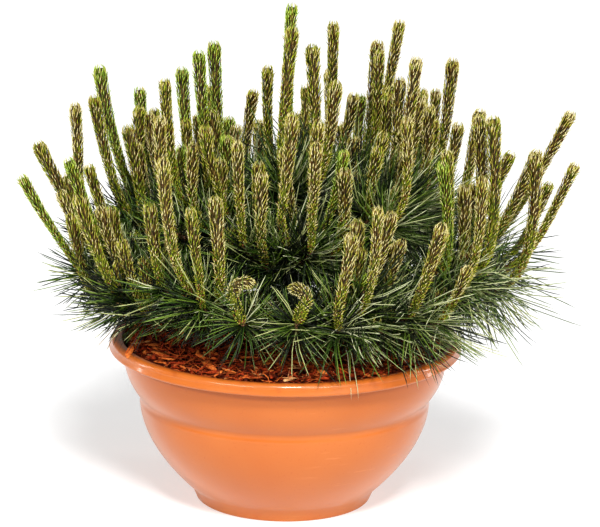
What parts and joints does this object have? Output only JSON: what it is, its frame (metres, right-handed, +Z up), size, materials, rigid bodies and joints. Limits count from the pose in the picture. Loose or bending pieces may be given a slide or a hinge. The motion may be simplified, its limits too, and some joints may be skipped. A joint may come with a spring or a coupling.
{
  "type": "potted conifer",
  "caption": "Dwarf mountain pine with upright young shoots over dark needle rosettes, in a round terracotta-coloured plastic bowl filled with bark mulch.",
  "frame": {"origin": "centre of the bowl's flat underside, on the surface that the bowl stands on", "axes": "+Z up along the bowl's axis, -Y towards the side with the nodding young shoots, +X to the right seen from there"},
  "size_m": [0.4245, 0.3502, 0.387],
  "materials": {
    "terracotta_plastic": "smooth moulded plastic with a soft sheen",
    "bark_mulch": "loose reddish-brown bark chips and fibres",
    "bark": "rough grey-brown bark",
    "needles": "dark green needles and yellow-green young shoots"
  },
  "bodies": {
    "root": {"bowl": "terracotta_plastic", "mulch": "bark_mulch", "trunk": "bark", "bough_inner_right": "bark", "bough_inner_back_right": "bark", "bough_inner_back_left": "bark", "bough_inner_left": "bark", "bough_inner_front": "bark", "bough_right_back": "bark", "bough_right": "bark", "bough_front_right": "bark", "bough_front": "bark", "bough_front_left": "bark", "bough_left_front": "bark", "bough_left": "bark", "bough_left_back": "bark", "bough_back_left": "bark", "bough_back": "bark", "bough_back_middle": "bark", "bough_back_right": "bark", "bough_front_middle": "bark", "foliage_crown": "needles", "foliage_inner_right": "needles", "foliage_inner_back_right": "needles", "foliage_inner_back_left": "needles", "foliage_inner_left": "needles", "foliage_inner_front": "needles", "foliage_right_back": "needles", "foliage_right": "needles", "foliage_front_right": "needles", "foliage_front": "needles", "foliage_front_left": "needles", "foliage_left_front": "needles", "foliage_left": "needles", "foliage_left_back": "needles", "foliage_back_left": "needles", "foliage_back": "needles", "foliage_back_middle": "needles", "foliage_back_right": "needles", "foliage_front_middle": "needles"}
  },
  "joints": []
}
